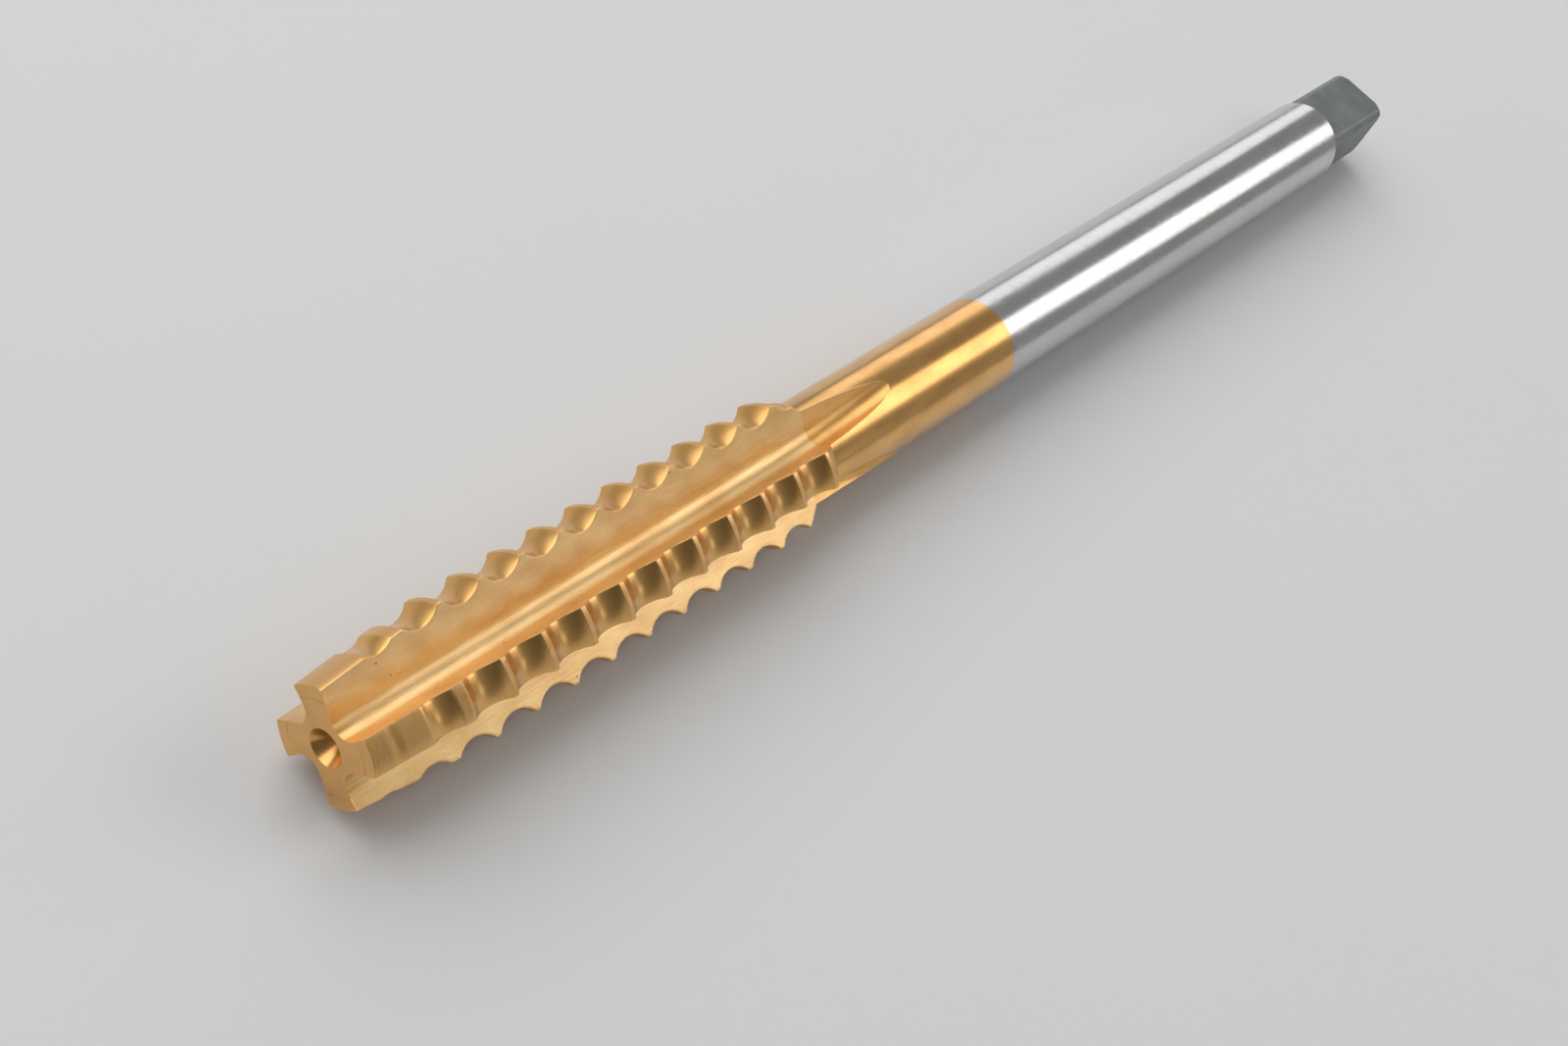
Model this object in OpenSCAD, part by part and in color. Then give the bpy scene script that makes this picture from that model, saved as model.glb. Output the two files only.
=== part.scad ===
// Machine tap with four straight flutes and a coarse right-hand thread.
// The axis runs along +X from the front face (x = 0) to the end of the drive square.
// One flute faces straight up (+Z), so the tool lies on its two lower lands.

/* [Overall] */
// Length from the front face to the end of the square
overall_len = 148; // [110:1:190]
// Diameter of the neck and the shank
shank_d = 8.5; // [7:0.1:10.4]
// Distance from the front face to the end of the gold coating
coated_len = 75.6; // [66:0.1:95]

/* [Thread] */
// Major diameter over the crests
major_d = 11.5; // [9.6:0.1:14]
// Distance between neighbouring crests
pitch = 4; // [3:0.1:5]
// Depth of the rounded groove below the crest
thread_depth = 0.9; // [0.5:0.05:1.1]
// Width of the flat on each crest
crest_flat = 0.45; // [0.2:0.05:0.8]
// Length of the threaded and fluted part
thread_len = 50; // [38:1:60]
// Length of the tapered lead at the front
lead_len = 11; // [5:0.5:16]
// Diameter of the front face over the lands
tip_d = 9.4; // [8:0.1:9.5]
// Length of the cone behind the last crest
thread_tail = 1.7; // [0.5:0.1:3]
// Distance from the front face to the first crest, measured along the top flute
crest_start = 3.38; // [0:0.02:4]

/* [Flutes] */
// Diameter of the web that is left between the flute floors
web_d = 4.6; // [4:0.1:5.6]
// Radius of the round flute floor
flute_r = 1.35; // [1.1:0.05:1.7]
// Angle between a flute's middle and the straight cutting face, which lies along a radius
face_angle = 29.3; // [27:0.1:32]
// Angle between a flute's middle and the straight back wall
back_angle = 45; // [42:0.5:48]
// Radius of the grinding wheel's path where a flute runs out
wheel_r = 50; // [30:1:60]
// Length of the run-out that lies inside the threaded part
runout_overlap = 4.5; // [0:0.5:8]

/* [Centre holes] */
// Diameter of the 60 degree cone at its mouth
centre_mouth_d = 3; // [2:0.1:3.4]
// Diameter of the pilot hole
centre_pilot_d = 1.5; // [1:0.1:1.8]
// Depth of the pilot hole from the end face
centre_depth = 3.8; // [3:0.1:6]

/* [Drive square] */
// Distance across the flats
square_af = 6.5; // [5.4:0.1:7.8]
// Length of the square
square_len = 11; // [6:0.5:14]
// Chamfer round the end of the square
end_chamfer = 0.4; // [0.1:0.05:0.8]

/* [Hidden] */
$fn = 96;

gold = [0.86, 0.66, 0.34];
bare_steel = [0.72, 0.72, 0.71];
dark_steel = [0.41, 0.43, 0.43];

flutes = 4;
step_angle = 360 / flutes;
// cuts reach this far past the faces that they open
past = 1;
cone_angle = 60;

major_r = major_d / 2;
shank_r = shank_d / 2;
// the floor's centre lies this far from the axis, turned so that the floor meets the cutting face
floor_distance = web_d / 2 + flute_r;
floor_angle = face_angle - asin(flute_r / floor_distance);
floor_out = floor_distance * cos(floor_angle);
floor_side = floor_distance * sin(floor_angle);
// the lands join the core this far above the floor's centre, where their walls are straight
join_rise = 0.1;
rib_r = floor_distance + join_rise;
runout_start = thread_len - runout_overlap;
// the wheel's arc has left the tool well before this turn
runout_turn = 30;
square_start = overall_len - square_len;

// groove arc through both crest edges and the groove's floor
groove_half_w = (pitch - crest_flat) / 2;
groove_arc_r = (pow(groove_half_w, 2) + pow(thread_depth, 2)) / (2 * thread_depth);
groove_path_r = major_r - thread_depth + groove_arc_r;
helix_angle = atan(pitch / (PI * (major_d - thread_depth)));
groove_count = ceil(thread_len / pitch) + 1;

// Turns what is drawn along Z so that it runs along +X.
module along_x() {
    rotate([0, 90, 0])
        children();
}

// Angle of a flute or a land about the axis, counted from +Y towards +Z.
function flute_angle(i) = 90 + (i - 1) * step_angle;
function land_angle(i) = flute_angle(i) - step_angle / 2;

// Distance to the crest nearest the front face, at an angle about the axis.
function first_crest(angle) = crest_start + pitch * (angle - 90) / 360;

// Section of one flute: +X points out of the tool, the cutting face is on the +Y side.
module flute_section() {
    face_foot = [floor_out - flute_r * sin(face_angle), floor_side + flute_r * cos(face_angle)];
    back_foot = [floor_out - flute_r * sin(back_angle), floor_side - flute_r * cos(back_angle)];
    translate([floor_out, floor_side])
        circle(r = flute_r);
    polygon([back_foot,
             back_foot + major_d * [cos(back_angle), -sin(back_angle)],
             face_foot + major_d * [cos(face_angle), sin(face_angle)],
             face_foot]);
}

// Straight part of one flute, on the +Y side.
module flute_groove(from_x, to_x) {
    translate([from_x, 0, 0])
        along_x()
            linear_extrude(height = to_x - from_x)
                rotate([0, 0, 90])
                    flute_section();
}

// Part of one flute that rises to the surface along the wheel's arc, on the +Y side.
module flute_runout() {
    translate([runout_start, floor_out + wheel_r, 0])
        rotate([0, 0, -90])
            rotate_extrude(angle = runout_turn)
                translate([floor_out + wheel_r, 0])
                    mirror([1, 0])
                        flute_section();
}

module all_flutes() {
    for (i = [1 : flutes])
        rotate([flute_angle(i), 0, 0]) {
            flute_groove(-past, runout_start);
            flute_runout();
        }
}

// Centre hole with its mouth at x = 0, going towards +X.
module centre_hole() {
    cone_len = (centre_mouth_d / 2) / tan(cone_angle / 2);
    along_x() {
        translate([0, 0, -past])
            cylinder(d = centre_pilot_d, h = centre_depth + past);
        rotate_extrude()
            polygon([[0, -past], [(centre_mouth_d / 2) * (1 + past / cone_len), -past], [0, cone_len]]);
    }
}

// Ring groove with a round floor, leaned over to follow the helix on the +Y side.
module thread_groove(x) {
    translate([x, 0, 0])
        rotate([0, helix_angle, 0])
            along_x()
                rotate_extrude()
                    translate([groove_path_r, 0])
                        circle(r = groove_arc_r);
}

// Turned blank of the lands: lead cone, full diameter, cone behind the last crest.
module land_blank() {
    along_x()
        rotate_extrude()
            polygon([[rib_r, 0], [tip_d / 2, 0], [major_r, lead_len],
                     [major_r, thread_len - thread_tail], [shank_r, thread_len], [rib_r, thread_len]]);
}

// Quarter of space round the +Y side, which holds one land.
module land_quarter() {
    reach = major_d;
    rotate([0, 90, 0])
        linear_extrude(height = thread_len)
            polygon([[0, 0], [-reach, reach], [reach, reach]]);
}

module fluted_core() {
    color(gold)
        difference() {
            along_x()
                cylinder(r = rib_r, h = thread_len);
            all_flutes();
            centre_hole();
        }
}

module thread_land(i) {
    start = first_crest(land_angle(i)) + pitch / 2;
    color(gold)
        rotate([land_angle(i), 0, 0])
            difference() {
                intersection() {
                    land_blank();
                    land_quarter();
                }
                rotate([-land_angle(i), 0, 0])
                    all_flutes();
                for (k = [-1 : groove_count - 1])
                    if (start + k * pitch < thread_len)
                        thread_groove(start + k * pitch);
            }
}

module coated_neck() {
    color(gold)
        difference() {
            translate([thread_len, 0, 0])
                along_x()
                    cylinder(r = shank_r, h = coated_len - thread_len);
            all_flutes();
        }
}

module shank() {
    color(bare_steel)
        translate([coated_len, 0, 0])
            along_x()
                cylinder(r = shank_r, h = square_start - coated_len);
}

module drive_square() {
    color(dark_steel)
        difference() {
            intersection() {
                translate([square_start, 0, 0])
                    along_x()
                        rotate_extrude()
                            polygon([[0, 0], [shank_r, 0], [shank_r, square_len - end_chamfer],
                                     [shank_r - end_chamfer, square_len], [0, square_len]]);
                translate([square_start - past, -square_af / 2, -square_af / 2])
                    cube([square_len + 2 * past, square_af, square_af]);
            }
            translate([overall_len, 0, 0])
                mirror([1, 0, 0])
                    centre_hole();
        }
}

fluted_core();
thread_land(1);  // thread_land_1
thread_land(2);  // thread_land_2
thread_land(3);  // thread_land_3
thread_land(4);  // thread_land_4
coated_neck();
shank();
drive_square();
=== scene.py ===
"""Machine tap: coated cutting part and neck, bare ground shank, milled drive square."""
import math

import bmesh
import bpy
from mathutils import Matrix, Vector


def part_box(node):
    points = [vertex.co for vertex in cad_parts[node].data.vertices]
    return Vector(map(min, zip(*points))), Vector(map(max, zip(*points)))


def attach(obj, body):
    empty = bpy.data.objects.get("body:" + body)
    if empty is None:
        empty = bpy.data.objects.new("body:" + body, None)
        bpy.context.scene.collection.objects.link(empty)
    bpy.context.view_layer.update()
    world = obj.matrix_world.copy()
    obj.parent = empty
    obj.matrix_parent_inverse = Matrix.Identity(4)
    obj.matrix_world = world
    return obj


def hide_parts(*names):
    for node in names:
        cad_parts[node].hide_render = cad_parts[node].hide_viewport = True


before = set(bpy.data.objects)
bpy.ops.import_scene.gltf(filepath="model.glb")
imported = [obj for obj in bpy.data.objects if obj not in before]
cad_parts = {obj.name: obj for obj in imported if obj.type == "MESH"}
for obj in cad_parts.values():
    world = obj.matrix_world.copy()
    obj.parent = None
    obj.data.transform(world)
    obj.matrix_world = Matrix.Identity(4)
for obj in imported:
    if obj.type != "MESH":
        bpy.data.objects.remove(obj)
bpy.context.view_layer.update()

MM = 0.001
TAU = 2 * math.pi
RIGHT_ANGLE = math.pi / 2
LANDS = 4
FLUTES = 4

# Sizes in millimetres, taken from the frame where it has them.
THREAD_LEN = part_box("fluted_core")[1][0] / MM
COATED_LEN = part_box("coated_neck")[1][0] / MM
SQUARE_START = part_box("drive_square")[0][0] / MM
OVERALL_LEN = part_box("drive_square")[1][0] / MM
SHANK_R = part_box("shank")[1][1] / MM
MAJOR_R = 5.75
PITCH = 4.0
THREAD_DEPTH = 0.9
CREST_FLAT = 0.45
CREST_START = 3.38
LEAD_LEN = 11.0
TIP_R = 4.7
THREAD_TAIL = 1.7
FLUTE_R = 1.35
WEB_R = 2.3
FACE_ANGLE = math.radians(29.3)
BACK_ANGLE = math.radians(45.0)
WHEEL_R = 50.0
RUNOUT_START = 45.5
SQUARE_AF = 6.5
END_CHAMFER = 0.4
CENTRE_MOUTH_R = 1.5
CENTRE_PILOT_R = 0.75
CENTRE_DEPTH = 3.8
EDGE_ROUND = 0.04
# Depth over which the wall and rim masks fade in behind the front face.
FACE_DEPTH = 0.05
# The lands join the core this far above the centre of the flute's floor.
JOIN_RISE = 0.1
# Width of the paler rim on each edge of a land.
RIM_WIDTH = 0.25
# Length at each end of a land over which its rows lean into the helix.
LEAN_IN = 0.4
# Half a land's top, as an angle about the axis.
LAND_HALF_ANGLE = math.radians(15.5)

FLOOR_DISTANCE = WEB_R + FLUTE_R
FLOOR_ANGLE = FACE_ANGLE - math.asin(FLUTE_R / FLOOR_DISTANCE)
FLOOR_OUT = FLOOR_DISTANCE * math.cos(FLOOR_ANGLE)
FLOOR_SIDE = FLOOR_DISTANCE * math.sin(FLOOR_ANGLE)
RIB_R = FLOOR_DISTANCE + JOIN_RISE
BACK_START = FLOOR_OUT + FLOOR_SIDE / math.tan(BACK_ANGLE) - FLUTE_R / math.sin(BACK_ANGLE)
GROOVE_HALF = (PITCH - CREST_FLAT) / 2
GROOVE_ARC_R = (GROOVE_HALF ** 2 + THREAD_DEPTH ** 2) / (2 * THREAD_DEPTH)
GROOVE_PATH_R = MAJOR_R - THREAD_DEPTH + GROOVE_ARC_R
CENTRE_CONE_LEN = (CENTRE_MOUTH_R - CENTRE_PILOT_R) / math.tan(math.pi / 6)
RUNOUT_RISE = math.sqrt((SHANK_R + FLUTE_R) ** 2 - FLOOR_SIDE ** 2) - FLOOR_OUT
RUNOUT_TIP = RUNOUT_START + math.sqrt(WHEEL_R ** 2 - (WHEEL_R - RUNOUT_RISE) ** 2)


# ---------------------------------------------------------------- node building

class Term:
    """A socket in an expression: each operator adds the Math node for it."""

    def __init__(self, graph, socket):
        self.graph = graph
        self.socket = socket

    def __add__(self, other):
        return self.graph.math("ADD", self, other)

    __radd__ = __add__

    def __sub__(self, other):
        return self.graph.math("SUBTRACT", self, other)

    def __rsub__(self, other):
        return self.graph.math("SUBTRACT", other, self)

    def __mul__(self, other):
        return self.graph.math("MULTIPLY", self, other)

    __rmul__ = __mul__

    def __truediv__(self, other):
        return self.graph.math("DIVIDE", self, other)

    def __rtruediv__(self, other):
        return self.graph.math("DIVIDE", other, self)

    def __pow__(self, other):
        return self.graph.math("POWER", self, other)

    def __mod__(self, other):
        return self.graph.math("FLOORED_MODULO", self, other)

    def __lt__(self, other):
        return self.graph.math("LESS_THAN", self, other)

    def __gt__(self, other):
        return self.graph.math("GREATER_THAN", self, other)

    def __neg__(self):
        return self * -1


class Graph:
    """Adds nodes to one tree."""

    def __init__(self, tree):
        self.tree = tree

    def node(self, kind, settings=None, sockets=None, out=0):
        made = self.tree.nodes.new(kind)
        for name, value in (settings or {}).items():
            setattr(made, name, value)
        for key, value in (sockets or {}).items():
            self.feed(made.inputs[key], value)
        return Term(self, made.outputs[out])

    def feed(self, socket, value):
        if isinstance(value, Term):
            self.tree.links.new(value.socket, socket)
        else:
            socket.default_value = value

    def math(self, operation, *terms, clamp=False):
        sockets = dict(enumerate(terms))
        return self.node("ShaderNodeMath", {"operation": operation, "use_clamp": clamp}, sockets)

    def sin(self, angle):
        return self.math("SINE", angle)

    def cos(self, angle):
        return self.math("COSINE", angle)

    def sqrt(self, value):
        return self.math("SQRT", value)

    def floor(self, value):
        return self.math("FLOOR", value)

    def low(self, first, second):
        return self.math("MINIMUM", first, second)

    def high(self, first, second):
        return self.math("MAXIMUM", first, second)

    def unit(self, value):
        """The value, held between 0 and 1."""
        return self.math("ADD", value, 0.0, clamp=True)

    def between(self, value, low, high):
        return self.low(self.high(value, low), high)

    def soft_low(self, first, second, distance):
        return self.math("SMOOTH_MIN", first, second, distance)

    def choose(self, mask, if_off, if_on):
        return if_off + mask * (if_on - if_off)

    def vector(self, x, y, z):
        return self.node("ShaderNodeCombineXYZ", None, {"X": x, "Y": y, "Z": z})

    def parts(self, vector):
        made = self.tree.nodes.new("ShaderNodeSeparateXYZ")
        self.tree.links.new(vector.socket, made.inputs[0])
        return [Term(self, out) for out in made.outputs]

    def scaled(self, vector, size):
        return self.node("ShaderNodeVectorMath", {"operation": "MULTIPLY"}, {0: vector, 1: size})


# ---------------------------------------------------------------- shape trees

class ShapeTree(Graph):
    """A Geometry Nodes tree that bends a grid of rows and columns into a closed skin."""

    def __init__(self, name, sizes):
        super().__init__(bpy.data.node_groups.new(name, "GeometryNodeTree"))
        self.size = {}
        face = self.tree.interface
        for label, value in sizes.items():
            socket = face.new_socket(label, in_out="INPUT", socket_type="NodeSocketFloat")
            socket.default_value = value
        face.new_socket("Finish", in_out="INPUT", socket_type="NodeSocketMaterial")
        face.new_socket("Geometry", in_out="OUTPUT", socket_type="NodeSocketGeometry")
        entry = self.tree.nodes.new("NodeGroupInput")
        for label in list(sizes) + ["Finish"]:
            self.size[label] = Term(self, entry.outputs[label])

    def grid(self, rows, columns):
        """Makes the grid and gives back its row and column numbers."""
        self.skin = self.node("GeometryNodeMeshGrid", None,
                              {"Vertices X": rows, "Vertices Y": columns})
        index = self.node("GeometryNodeInputIndex")
        row = self.floor((index + 0.5) / columns)
        column = index - row * columns
        return row, column

    def keep(self, label, value):
        """Stores a mask on the skin for its finish to read."""
        settings = {"data_type": "FLOAT", "domain": "POINT"}
        self.skin = self.node("GeometryNodeStoreNamedAttribute", settings,
                              {"Geometry": self.skin, "Name": label, "Value": value})

    def close(self, x, radius, angle):
        """Places the grid's points in millimetres round the X axis and ends the tree."""
        place = self.scaled(self.vector(x, radius * self.cos(angle), radius * self.sin(angle)),
                            (MM, MM, MM))
        moved = self.node("GeometryNodeSetPosition", None,
                          {"Geometry": self.skin, "Position": place})
        welded = self.node("GeometryNodeMergeByDistance", None,
                           {"Geometry": moved, "Distance": 2e-7})
        smooth = self.node("GeometryNodeSetShadeSmooth", None, {"Geometry": welded})
        real = self.node("GeometryNodeRealizeInstances", None, {"Geometry": smooth})
        done = self.node("GeometryNodeSetMaterial", None,
                         {"Geometry": real, "Material": self.size["Finish"]})
        leave = self.tree.nodes.new("NodeGroupOutput")
        self.tree.links.new(done.socket, leave.inputs["Geometry"])
        return self.tree


def flute_rise(tree, x):
    """How far a flute's section has moved outwards along the wheel's arc."""
    size = tree.size
    past = tree.high(x - size["Run-out start"], 0.0)
    return size["Wheel radius"] - tree.sqrt(size["Wheel radius"] ** 2 - past ** 2)


def wall_angle(tree, radius, rise, start, lean):
    """Angle from a flute's middle to a straight wall that leaves the middle line at start."""
    shift = (start + rise) * math.sin(lean) / radius
    return lean - tree.math("ARCSINE", tree.between(shift, -1.0, 1.0))


def floor_reach(tree, radius, rise):
    """Angles about the axis from a flute's middle to the floor circle: its centre, half width."""
    out = tree.size["Floor out"] + rise
    away = tree.sqrt(out ** 2 + tree.size["Floor side"] ** 2)
    ratio = (radius ** 2 + away ** 2 - tree.size["Flute radius"] ** 2) / (2 * radius * away)
    middle = tree.math("ARCTAN2", tree.size["Floor side"], out)
    return middle, tree.math("ARCCOSINE", tree.between(ratio, -1.0, 1.0)), away


def land_tree():
    """One threaded land, between two flutes."""
    tree = ShapeTree("threaded land", {
        "Land angle": math.radians(45), "Length": THREAD_LEN, "Pitch": PITCH,
        "Crest start": CREST_START, "Lead length": LEAD_LEN, "Tip radius": TIP_R,
        "Major radius": MAJOR_R, "Neck radius": SHANK_R, "Tail length": THREAD_TAIL,
        "Core radius": RIB_R, "Wheel radius": WHEEL_R, "Run-out start": RUNOUT_START,
        "Edge round": EDGE_ROUND})
    size = tree.size
    groove_rows, edge_rows, crest_rows = 22, 3, 3
    turn_rows = groove_rows + 2 * edge_rows + crest_rows
    wall_cols, edge_cols, top_cols, base_cols = 13, 3, 12, 3
    turns = math.ceil(THREAD_LEN / PITCH) + 1
    rows = turns * turn_rows + 3
    centre_col = wall_cols + edge_cols + top_cols / 2
    last_col = 2 * centre_col
    columns = int(last_col) + base_cols + 1
    row, column = tree.grid(rows, columns)

    # Rows: groove, crest edge, crest, crest edge, and again.
    inner = tree.between(row - 1, 0.0, turns * turn_rows)
    turn = tree.floor((inner + 0.5) / turn_rows)
    step = inner - turn * turn_rows
    swing = math.asin(GROOVE_HALF / GROOVE_ARC_R)
    sweep = swing * (2 * tree.unit(step / groove_rows) - 1)
    edge_len = 2 * EDGE_ROUND
    along = (GROOVE_ARC_R * tree.sin(sweep)
             + edge_len * tree.unit((step - groove_rows) / edge_rows)
             + (CREST_FLAT - 2 * edge_len)
             * tree.unit((step - groove_rows - edge_rows) / crest_rows)
             + edge_len * tree.unit((step - groove_rows - edge_rows - crest_rows) / edge_rows))
    lag = size["Land angle"] / TAU - 0.25
    first_valley = size["Crest start"] + size["Pitch"] * (lag - 0.5)
    first_valley = first_valley - size["Pitch"] * tree.floor(first_valley / size["Pitch"] + 0.5)
    mid_x = first_valley + size["Pitch"] * turn + along
    mid_x = tree.between(mid_x, 0.0, size["Length"]) * (inner > 0.5)

    # Columns: up one wall, over the edge, across the top, down again, back along the base.
    climb = tree.high(centre_col - tree.math("ABSOLUTE", column - centre_col), 0.0)
    wall = tree.unit(climb / wall_cols) ** 1.4
    edge = tree.unit((climb - wall_cols) / edge_cols) * RIGHT_ANGLE
    back = tree.unit((column - last_col) / base_cols)
    side = tree.between((column - centre_col) / (top_cols / 2), -1.0, 1.0) - 2 * back
    lean = tree.unit(tree.low(mid_x, size["Length"] - mid_x) / LEAN_IN)
    x = mid_x + lean * size["Pitch"] * side * (LAND_HALF_ANGLE / TAU)

    helix_x = x - size["Pitch"] * (lag + side * (LAND_HALF_ANGLE / TAU))
    from_valley = (helix_x - size["Crest start"]) % size["Pitch"] - size["Pitch"] / 2
    groove = GROOVE_PATH_R - tree.sqrt(GROOVE_ARC_R ** 2 - from_valley ** 2)
    cone = size["Tip radius"] + (size["Major radius"] - size["Tip radius"]) * x / size["Lead length"]
    tail = size["Neck radius"] + ((size["Major radius"] - size["Neck radius"])
                                  * (size["Length"] - x) / size["Tail length"])
    blank = tree.low(tree.low(cone, size["Major radius"]), tail)
    top = tree.soft_low(groove, blank, size["Edge round"])

    rise = flute_rise(tree, x)
    radius = (size["Core radius"] + (top - size["Edge round"] - size["Core radius"]) * wall
              + size["Edge round"] * tree.sin(edge))
    face = wall_angle(tree, radius, rise, 0.0, FACE_ANGLE)
    heel = wall_angle(tree, radius, rise, BACK_START, BACK_ANGLE)
    open_angle = TAU / 8 - tree.choose(side > 0, face, heel)
    half = open_angle - size["Edge round"] / top * (1 - tree.cos(edge))
    angle = size["Land angle"] + side * half

    # The two end rows shrink to a point inside the land.
    cap = tree.math("ADD", row < 0.5, row > rows - 1.5)
    cap_radius = (size["Core radius"] + size["Neck radius"]) / 2 + 0.3
    radius = tree.choose(cap, radius, cap_radius)
    angle = tree.choose(cap, angle, size["Land angle"])

    crest = tree.unit((blank - top - 0.01) / 0.05)
    behind_face = tree.unit(x / FACE_DEPTH)
    tree.keep("crest", tree.unit(1 - crest) * tree.unit(edge) * behind_face)
    tree.keep("wall", (1 - tree.unit(edge)) * behind_face)
    tree.keep("rim", tree.unit((radius - (top - RIM_WIDTH)) / RIM_WIDTH) * behind_face)
    return tree.close(x, radius, angle)


def fluted_bar_tree(name, with_centre):
    """A bar with four flutes: the core of the cutting part, or the neck where they run out."""
    tree = ShapeTree(name, {
        "Start": 0.0, "Flutes end": RUNOUT_TIP, "End": COATED_LEN, "Radius": SHANK_R,
        "Floor out": FLOOR_OUT, "Floor side": FLOOR_SIDE, "Flute radius": FLUTE_R,
        "Wheel radius": WHEEL_R, "Run-out start": RUNOUT_START})
    size = tree.size
    flute_cols, rib_cols = 26, 20
    fluted_rows, plain_rows = 56, 16
    front_rows = 4 if with_centre else 1
    rows = front_rows + fluted_rows + plain_rows + 2
    quarter_cols = flute_cols + rib_cols
    columns = FLUTES * quarter_cols + 1
    row, column = tree.grid(rows, columns)

    place = row - front_rows
    fluted = tree.unit(place / fluted_rows)
    crowd = 1 - (1 - fluted) ** 2
    plain = tree.unit((place - fluted_rows) / plain_rows)
    x = (size["Start"] + (size["Flutes end"] - size["Start"]) * crowd
         + (size["End"] - size["Flutes end"]) * plain)

    quarter = tree.floor((column + 0.5) / quarter_cols)
    step = column - quarter * quarter_cols
    across = tree.unit(step / flute_cols)
    across = across - tree.sin(across * TAU) * (0.9 / TAU)
    rise = flute_rise(tree, x)
    middle, spread, away = floor_reach(tree, size["Radius"], rise)
    opened = size["Radius"] - away + size["Flute radius"] > 1e-5
    straight = []
    for lean, start, turned in ((FACE_ANGLE, 0.0, 1), (BACK_ANGLE, BACK_START, -1)):
        foot_out = size["Floor out"] + rise - size["Flute radius"] * math.sin(lean)
        foot_side = size["Floor side"] * turned + size["Flute radius"] * math.cos(lean)
        clear = size["Radius"] > tree.sqrt(foot_out ** 2 + foot_side ** 2)
        wall = wall_angle(tree, size["Radius"], rise, start, lean)
        straight.append(tree.choose(clear, middle * turned + spread, wall) * opened)
    face_edge, back_edge = straight
    low_side = -1 * size["Radius"] * tree.sin(back_edge)
    high_side = size["Radius"] * tree.sin(face_edge)
    sideways = low_side + (high_side - low_side) * across
    in_circle = tree.between(sideways - size["Floor side"], -FLUTE_R * math.cos(BACK_ANGLE),
                             FLUTE_R * math.cos(FACE_ANGLE))
    inward = size["Floor out"] - tree.sqrt(size["Flute radius"] ** 2 - in_circle ** 2)
    on_face = tree.high(sideways - size["Floor side"] - FLUTE_R * math.cos(FACE_ANGLE), 0.0)
    on_back = tree.high(size["Floor side"] - FLUTE_R * math.cos(BACK_ANGLE) - sideways, 0.0)
    inward = inward + on_face / math.tan(FACE_ANGLE) + on_back / math.tan(BACK_ANGLE) + rise
    flute_radius = tree.sqrt(inward ** 2 + sideways ** 2)
    flute_angle = tree.math("ARCTAN2", sideways, inward)
    in_flute = (step < flute_cols + 0.5) * opened
    over = tree.unit((step - flute_cols) / rib_cols)
    over = over - tree.sin(over * TAU) * (0.6 / TAU)
    rib_angle = face_edge + (RIGHT_ANGLE - face_edge - back_edge) * over
    flat_angle = (face_edge + back_edge) * across - back_edge
    rib_angle = tree.choose(step < flute_cols + 0.5, rib_angle, flat_angle)
    radius = tree.choose(in_flute, size["Radius"], flute_radius)
    angle = tree.choose(in_flute, rib_angle, flute_angle) + RIGHT_ANGLE * quarter

    if with_centre:
        x, radius = front_centre(tree, row, x, radius)
    else:
        radius = radius * (row > 0.5)
    radius = radius * (row < rows - 1.5)
    behind_face = (row > front_rows - 0.5) * tree.unit(x / FACE_DEPTH)
    in_flute = in_flute * behind_face
    tree.keep("wall", in_flute)
    rim = tree.unit(1 - tree.math("ABSOLUTE", 1 - 2 * across) ** 8)
    tree.keep("rim", in_flute * (1 - rim))
    return tree.close(x, radius, angle)


def front_centre(tree, row, x, radius):
    """Turns the first rows into the centre hole: pilot floor, pilot wall, cone, mouth."""
    hole_radius = (tree.unit(row) * CENTRE_PILOT_R
                   + (row > 2.5) * (CENTRE_MOUTH_R - CENTRE_PILOT_R))
    hole_x = ((row < 1.5) * (CENTRE_DEPTH - CENTRE_CONE_LEN) + (row < 2.5) * CENTRE_CONE_LEN)
    inside = row < 3.5
    return tree.choose(inside, x, hole_x), tree.choose(inside, radius, hole_radius)


def shank_tree():
    """The plain ground shank."""
    tree = ShapeTree("ground shank", {
        "Start": COATED_LEN, "End": SQUARE_START, "Radius": SHANK_R})
    size = tree.size
    rows, columns = 34, 129
    row, column = tree.grid(rows, columns)
    x = size["Start"] + (size["End"] - size["Start"]) * tree.unit((row - 1) / (rows - 3))
    body = (row > 0.5) * (row < rows - 1.5)
    return tree.close(x, size["Radius"] * body, column * (TAU / (columns - 1)))


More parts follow.
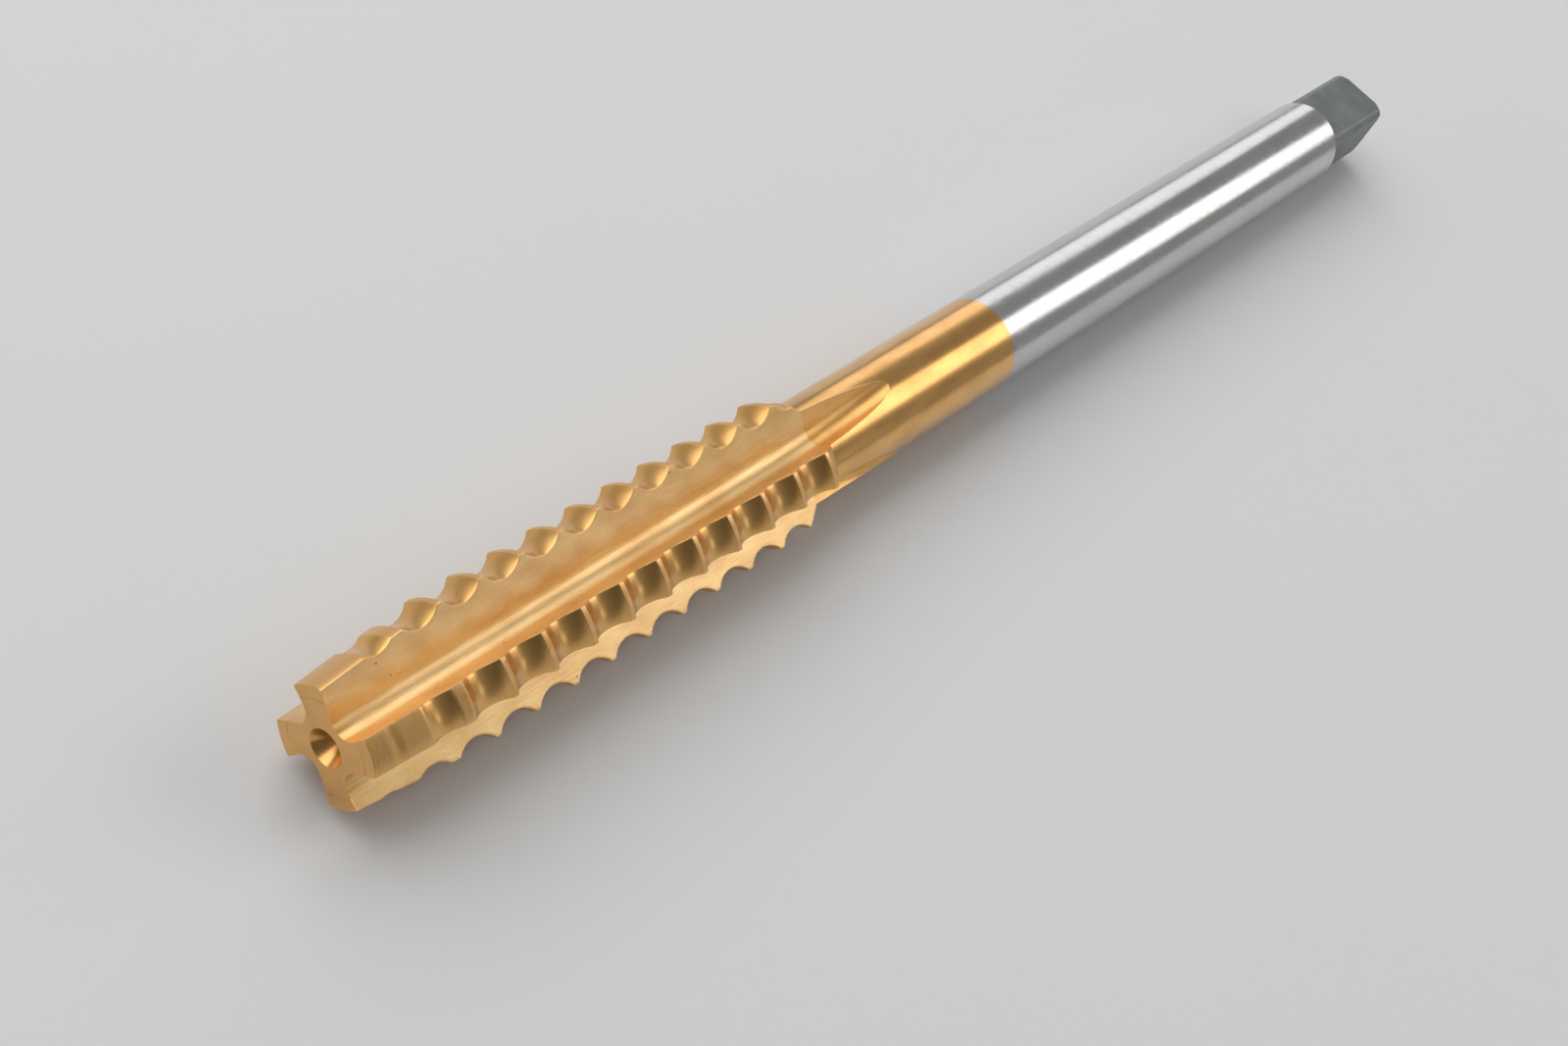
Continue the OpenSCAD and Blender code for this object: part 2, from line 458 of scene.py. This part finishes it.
def square_tree():
    """The drive square: four milled flats, the bar's own round at the corners."""
    tree = ShapeTree("drive square", {
        "Start": SQUARE_START, "End": OVERALL_LEN, "Across flats": SQUARE_AF,
        "Radius": SHANK_R, "Chamfer": END_CHAMFER, "Corner round": 0.05})
    size = tree.size
    body_rows, chamfer_rows, hole_rows = 12, 4, 4
    side_cols = 36
    rows = 2 + body_rows + chamfer_rows + hole_rows
    columns = FLUTES * side_cols + 1
    row, column = tree.grid(rows, columns)
    body = tree.unit((row - 1) / body_rows)
    slope = tree.unit((row - 1 - body_rows) / chamfer_rows)
    x = (size["Start"] + (size["End"] - size["Chamfer"] - size["Start"]) * body
         + size["Chamfer"] * slope)
    flat = tree.floor((column + 0.5) / side_cols)
    step = (column - flat * side_cols) / side_cols * 2 - 1
    turn = tree.math("SIGN", step) * (1 - (1 - tree.math("ABSOLUTE", step)) ** 1.6) * (TAU / 8)
    chamfered = size["Radius"] - size["Chamfer"] * slope
    facing = size["Across flats"] / 2 / tree.cos(turn)
    radius = tree.soft_low(facing, chamfered, size["Corner round"])
    behind = rows - 1 - row
    hole_radius = (tree.unit(behind) * CENTRE_PILOT_R
                   + (behind > 2.5) * (CENTRE_MOUTH_R - CENTRE_PILOT_R))
    hole_x = size["End"] - ((behind < 1.5) * (CENTRE_DEPTH - CENTRE_CONE_LEN)
                            + (behind < 2.5) * CENTRE_CONE_LEN)
    inside = behind < 3.5
    x = tree.choose(inside, x, hole_x)
    radius = tree.choose(inside, radius, hole_radius) * (row > 0.5)
    return tree.close(x, radius, turn + RIGHT_ANGLE * flat)


def make_piece(name, tree, sizes, finish, sharp_degrees):
    """Runs a shape tree once, and keeps the result as a plain mesh on the tool's body."""
    host = bpy.data.objects.new(name + "_host", bpy.data.meshes.new(name + "_host"))
    bpy.context.scene.collection.objects.link(host)
    shape = host.modifiers.new("shape", "NODES")
    shape.node_group = tree
    wanted = dict(sizes, Finish=finish)
    for item in tree.interface.items_tree:
        if item.name in wanted and item.in_out == "INPUT":
            shape[item.identifier] = wanted[item.name]
    graph = bpy.context.evaluated_depsgraph_get()
    mesh = bpy.data.meshes.new_from_object(
        host.evaluated_get(graph), preserve_all_data_layers=True, depsgraph=graph)
    bpy.data.objects.remove(host)
    mesh.name = name
    skin = bmesh.new()
    skin.from_mesh(mesh)
    bmesh.ops.recalc_face_normals(skin, faces=skin.faces)
    skin.to_mesh(mesh)
    skin.free()
    mesh.set_sharp_from_angle(angle=math.radians(sharp_degrees))
    piece = bpy.data.objects.new(name, mesh)
    bpy.context.scene.collection.objects.link(piece)
    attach(piece, "root")
    return piece


# ---------------------------------------------------------------- finishes

class Finish(Graph):
    """A procedural material on object coordinates, in millimetres."""

    def __init__(self, name, **constants):
        self.material = bpy.data.materials.new(name)
        self.material.use_nodes = True
        super().__init__(self.material.node_tree)
        self.tree.nodes.clear()
        self.shader = self.tree.nodes.new("ShaderNodeBsdfPrincipled")
        leave = self.tree.nodes.new("ShaderNodeOutputMaterial")
        self.tree.links.new(self.shader.outputs[0], leave.inputs["Surface"])
        for label, value in constants.items():
            self.shader.inputs[label.replace("_", " ")].default_value = value
        place = self.node("ShaderNodeTexCoord", None, None, out="Object")
        self.place = self.scaled(place, (1 / MM, 1 / MM, 1 / MM))
        self.x, self.y, self.z = self.parts(self.place)

    def noise(self, stretch, detail=2.0, roughness=0.5, shift=0.0):
        """Noise between 0 and 1, with this many waves to the millimetre on each axis."""
        at = self.vector(self.x * stretch[0] + shift, self.y * stretch[1], self.z * stretch[2])
        return self.node("ShaderNodeTexNoise", None,
                         {"Vector": at, "Scale": 1.0, "Detail": detail, "Roughness": roughness})

    def specks(self, density, size, share, shift=0.0):
        """Small round marks, 1 inside a mark."""
        at = self.vector(self.x * density + shift, self.y * density, self.z * density)
        cell = self.tree.nodes.new("ShaderNodeTexVoronoi")
        self.tree.links.new(at.socket, cell.inputs["Vector"])
        cell.inputs["Scale"].default_value = 1.0
        distance = Term(self, cell.outputs["Distance"])
        pick = self.parts(Term(self, cell.outputs["Color"]))
        radius = size * density * (0.35 + 0.65 * pick[1])
        return self.unit((radius - distance) / (0.4 * size * density)) * (pick[0] < share)

    def mask(self, label):
        return self.node("ShaderNodeAttribute", {"attribute_name": label}, None, out="Fac")

    def blend(self, share, first, second):
        made = self.tree.nodes.new("ShaderNodeMix")
        made.data_type = "RGBA"
        self.feed(made.inputs[0], share)
        self.feed(made.inputs[6], first)
        self.feed(made.inputs[7], second)
        return Term(self, made.outputs[2])

    def band(self, value, low, high):
        """0 below low, 1 above high, straight between."""
        return self.unit((value - low) / (high - low))

    def finish(self, colour=None, roughness=None, height=None, depth=0.01, strength=1.0):
        """Wires the varying values to the shader; the height map's depth is in millimetres."""
        if colour is not None:
            self.feed(self.shader.inputs["Base Color"], colour)
        if roughness is not None:
            self.feed(self.shader.inputs["Roughness"], roughness)
        if height is not None:
            bump = self.node("ShaderNodeBump", None,
                             {"Strength": strength, "Distance": depth * MM, "Height": height})
            self.feed(self.shader.inputs["Normal"], bump)
        return self.material


GOLD = (0.84, 0.46, 0.135, 1.0)
FLUTE_GOLD = (0.90, 0.60, 0.26, 1.0)
DEEP_GOLD = (0.68, 0.34, 0.09, 1.0)
PALE_GOLD = (0.88, 0.60, 0.34, 1.0)
STAIN = (0.16, 0.09, 0.04, 1.0)
STEEL = (0.62, 0.61, 0.60, 1.0)
DULL_STEEL = (0.42, 0.42, 0.42, 1.0)
STAINED_STEEL = (0.15, 0.16, 0.165, 1.0)
MILLED = (0.235, 0.250, 0.252, 1.0)
MILLED_PALE = (0.34, 0.36, 0.36, 1.0)
FLOOR_GREY = (0.79, 0.79, 0.785, 1.0)
FLOOR_SHADE = (0.74, 0.745, 0.75, 1.0)


def gold_on_ground_flutes(name):
    """Coating over the flutes and lands: grinding lines run along the tool in the flutes."""
    coat = Finish(name, Metallic=1.0, Coat_Weight=0.45, Coat_Roughness=0.18, Coat_IOR=1.6)
    wall = coat.mask("wall")
    crest = coat.mask("crest")
    rim = coat.mask("rim")
    cloud = coat.noise((0.22, 0.5, 0.5), detail=3.0)
    lines = coat.noise((0.35, 14.0, 14.0), detail=2.0, shift=3.0)
    rings = coat.noise((11.0, 0.9, 0.9), detail=2.0, shift=7.0)
    grain = coat.noise((9.0, 9.0, 9.0), detail=2.0, shift=11.0)
    marks = coat.specks(1.1, 0.11, 0.16) + coat.specks(0.55, 0.22, 0.08, shift=40.0)
    colour = coat.blend(wall, GOLD, FLUTE_GOLD)
    colour = coat.blend(coat.band(cloud, 0.4, 0.75) * 0.6, colour, DEEP_GOLD)
    colour = coat.blend(coat.band(grain, 0.45, 0.85) * 0.25, colour, DEEP_GOLD)
    # Crests, and the rims near each land's top, turn paler in places, following the ring and grain noise.
    pale_crest_and_rim = coat.unit(crest * coat.band(rings, 0.4, 0.7) + 0.35 * rim * coat.band(grain, 0.5, 0.7))
    colour = coat.blend(pale_crest_and_rim * 0.45, colour, PALE_GOLD)
    colour = coat.blend(coat.unit(marks) * 0.8, colour, STAIN)
    roughness = 0.24 + 0.08 * cloud + 0.06 * grain + 0.10 * crest + 0.04 * wall
    height = wall * lines * 2.4 + (1 - wall) * rings * 0.6 + grain * 0.6 - coat.unit(marks) * 1.5
    return coat.finish(colour, roughness, height, depth=0.008, strength=1.0)


def gold_on_turned_neck(name):
    """Coating over the round neck: faint lines run round it, and along it in the run-outs."""
    coat = Finish(name, Metallic=1.0, Coat_Weight=0.45, Coat_Roughness=0.18, Coat_IOR=1.6)
    wall = coat.mask("wall")
    cloud = coat.noise((0.3, 0.6, 0.6), detail=3.0, shift=5.0)
    lines = coat.noise((0.35, 14.0, 14.0), detail=2.0, shift=3.0)
    rings = coat.noise((16.0, 0.5, 0.5), detail=2.0, shift=2.0)
    grain = coat.noise((8.0, 8.0, 8.0), detail=2.0, shift=11.0)
    marks = coat.specks(0.9, 0.10, 0.10, shift=9.0)
    colour = coat.blend(coat.band(cloud, 0.38, 0.75), GOLD, DEEP_GOLD)
    colour = coat.blend(coat.band(grain, 0.45, 0.85) * 0.3, colour, DEEP_GOLD)
    colour = coat.blend(coat.unit(marks) * 0.7, colour, STAIN)
    roughness = 0.14 + 0.06 * cloud + 0.05 * grain + 0.12 * wall
    height = wall * lines * 3.0 + (1 - wall) * rings * 0.25 + grain * 0.25
    return coat.finish(colour, roughness, height, depth=0.006, strength=1.0)


def bare_ground_steel(name):
    """Bright steel with fine grinding rings and a few handling marks."""
    steel = Finish(name, Metallic=1.0)
    cloud = steel.noise((0.12, 0.5, 0.5), detail=4.0, shift=1.0)
    rings = steel.noise((18.0, 0.35, 0.35), detail=3.0)
    grain = steel.noise((6.0, 6.0, 6.0), detail=2.0, shift=6.0)
    scuffs = steel.noise((1.4, 0.5, 0.5), detail=4.0, roughness=0.65, shift=20.0)
    marks = steel.specks(0.8, 0.13, 0.12, shift=3.0)
    colour = steel.blend(steel.band(cloud, 0.4, 0.8) * 0.35, STEEL, DULL_STEEL)
    colour = steel.blend(steel.band(rings, 0.5, 0.8) * 0.25, colour, DULL_STEEL)
    colour = steel.blend(steel.unit(marks) * 0.6, colour, STAINED_STEEL)
    roughness = 0.15 + 0.10 * steel.band(scuffs, 0.4, 0.8) + 0.04 * rings
    height = rings + grain * 0.4
    return steel.finish(colour, roughness, height, depth=0.0015, strength=0.6)


def dark_milled_steel(name):
    """Dark steel with cutter marks across the flats."""
    steel = Finish(name, Metallic=1.0)
    cloud = steel.noise((0.4, 0.4, 0.4), detail=4.0, shift=2.0)
    cuts = steel.noise((7.0, 0.6, 0.6), detail=2.0, shift=8.0)
    grain = steel.noise((10.0, 10.0, 10.0), detail=2.0)
    colour = steel.blend(steel.band(cloud, 0.4, 0.75) * 0.6, MILLED, MILLED_PALE)
    colour = steel.blend(steel.band(cuts, 0.55, 0.8) * 0.3, colour, MILLED_PALE)
    roughness = 0.46 + 0.12 * grain + 0.08 * cloud
    height = cuts + grain * 0.4
    return steel.finish(colour, roughness, height, depth=0.01, strength=0.8)


def pale_floor(name):
    """Plain pale board with a very fine grain."""
    board = Finish(name, Specular_IOR_Level=0.25)
    cloud = board.noise((0.01, 0.01, 0.01), detail=2.0)
    grain = board.noise((3.0, 3.0, 3.0), detail=3.0)
    colour = board.blend(board.band(cloud, 0.3, 0.8) * 0.25, FLOOR_GREY, FLOOR_SHADE)
    return board.finish(colour, 0.55 + 0.1 * grain, grain, depth=0.02, strength=0.35)


# ---------------------------------------------------------------- floor, lights, camera

REST_X = 48.0
REST_Z = -5.014
REST_TILT = 0.0084
FLOOR_HALF = 4000.0


def lay_floor():
    """The tool lies on its two lower lands and the end of the shank, so the floor leans a little."""
    corners = [(REST_X + a * FLOOR_HALF, b * FLOOR_HALF) for a, b in ((-1, -1), (1, -1), (1, 1), (-1, 1))]
    points = [(x * MM, y * MM, (REST_Z + REST_TILT * (x - REST_X)) * MM) for x, y in corners]
    mesh = bpy.data.meshes.new("floor")
    mesh.from_pydata(points, [], [(0, 1, 2, 3)])
    mesh.materials.append(pale_floor("pale_floor"))
    floor = bpy.data.objects.new("floor", mesh)
    bpy.context.scene.collection.objects.link(floor)


# Point that the softboxes face.
AIM = Vector((0.048749, -0.002685, -0.005))


def heading(azimuth, elevation):
    """Unit vector at an azimuth counted from +X towards +Y, and an elevation, in degrees."""
    turn, rise = math.radians(azimuth), math.radians(elevation)
    return Vector((math.cos(turn) * math.cos(rise), math.sin(turn) * math.cos(rise),
                   math.sin(rise)))


def softbox(name, azimuth, elevation, distance, width, height, watts, shade=(1.0, 1.0, 1.0)):
    """A rectangular light that faces the tool, with its width level."""
    lamp = bpy.data.lights.new(name, "AREA")
    lamp.shape = "RECTANGLE"
    lamp.size = width
    lamp.size_y = height
    lamp.energy = watts
    lamp.color = shade
    light = bpy.data.objects.new(name, lamp)
    away = heading(azimuth, elevation)
    light.location = AIM + away * distance
    light.rotation_euler = away.to_track_quat("Z", "Y").to_euler()
    bpy.context.scene.collection.objects.link(light)


def light_studio():
    """Soft light from the +Y side and from +X; the room is dimmer towards -X and -Y."""
    world = bpy.data.worlds.new("studio")
    world.use_nodes = True
    bpy.context.scene.world = world
    room = Graph(world.node_tree)
    x, y = room.parts(room.node("ShaderNodeTexCoord", None, None, out="Generated"))[:2]
    dim_side = room.unit(-0.75 * x - 0.65 * y)
    back = world.node_tree.nodes["Background"]
    back.inputs["Color"].default_value = (0.98, 0.99, 1.0, 1.0)
    room.feed(back.inputs["Strength"], 0.30 - 0.21 * dim_side)
    softbox("key_softbox", 98, 52, 0.85, 1.4, 0.9, 6.2)
    softbox("back_softbox", -19, 35, 0.9, 0.31, 0.56, 0.95, (1.0, 0.97, 0.94))
    softbox("face_softbox", -39, 39, 0.9, 0.22, 0.28, 0.34)
    softbox("low_softbox", -55, 14, 0.9, 0.22, 0.22, 0.16)
    softbox("side_softbox", 33, 17, 0.9, 0.38, 0.34, 0.42)


def place_camera():
    lens = bpy.data.cameras.new("camera")
    lens.lens = 52.457
    lens.sensor_width = 36.0
    lens.clip_start = 0.005
    camera = bpy.data.objects.new("camera", lens)
    forward = Vector((0.67615, 0.21405, -0.70499))
    right = Vector((0.61726, -0.68700, 0.38342))
    up = right.cross(forward)
    turn = Matrix((right, up, -forward)).transposed().to_4x4()
    turn.translation = Vector((-0.076641, -0.04238, 0.125738))
    camera.matrix_world = turn
    bpy.context.scene.collection.objects.link(camera)
    bpy.context.scene.camera = camera


# ---------------------------------------------------------------- the tool

def build_tool():
    cut_gold = gold_on_ground_flutes("gold_flutes")
    land = land_tree()
    for number in range(LANDS):
        angle = math.radians(45 + 90 * number)
        piece = make_piece(f"land_{number + 1}", land, {"Land angle": angle}, cut_gold,
                           28)
        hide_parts(f"thread_land_{number + 1}")
    core = fluted_bar_tree("fluted core", True)
    core_sizes = {"Start": 0.0, "Flutes end": THREAD_LEN, "End": THREAD_LEN, "Radius": RIB_R}
    piece = make_piece("core", core, core_sizes, cut_gold, 28)
    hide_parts("fluted_core")
    neck = fluted_bar_tree("neck with run-outs", False)
    piece = make_piece("neck", neck, {"Start": THREAD_LEN}, gold_on_turned_neck("gold_neck"),
                       12)
    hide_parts("coated_neck")
    piece = make_piece("round_shank", shank_tree(), {}, bare_ground_steel("ground_shank"),
                       30)
    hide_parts("shank")
    piece = make_piece("square_end", square_tree(), {}, dark_milled_steel("milled_square"),
                       25)
    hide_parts("drive_square")


build_tool()
lay_floor()
light_studio()
place_camera()
bpy.context.scene.view_settings.view_transform = "Standard"
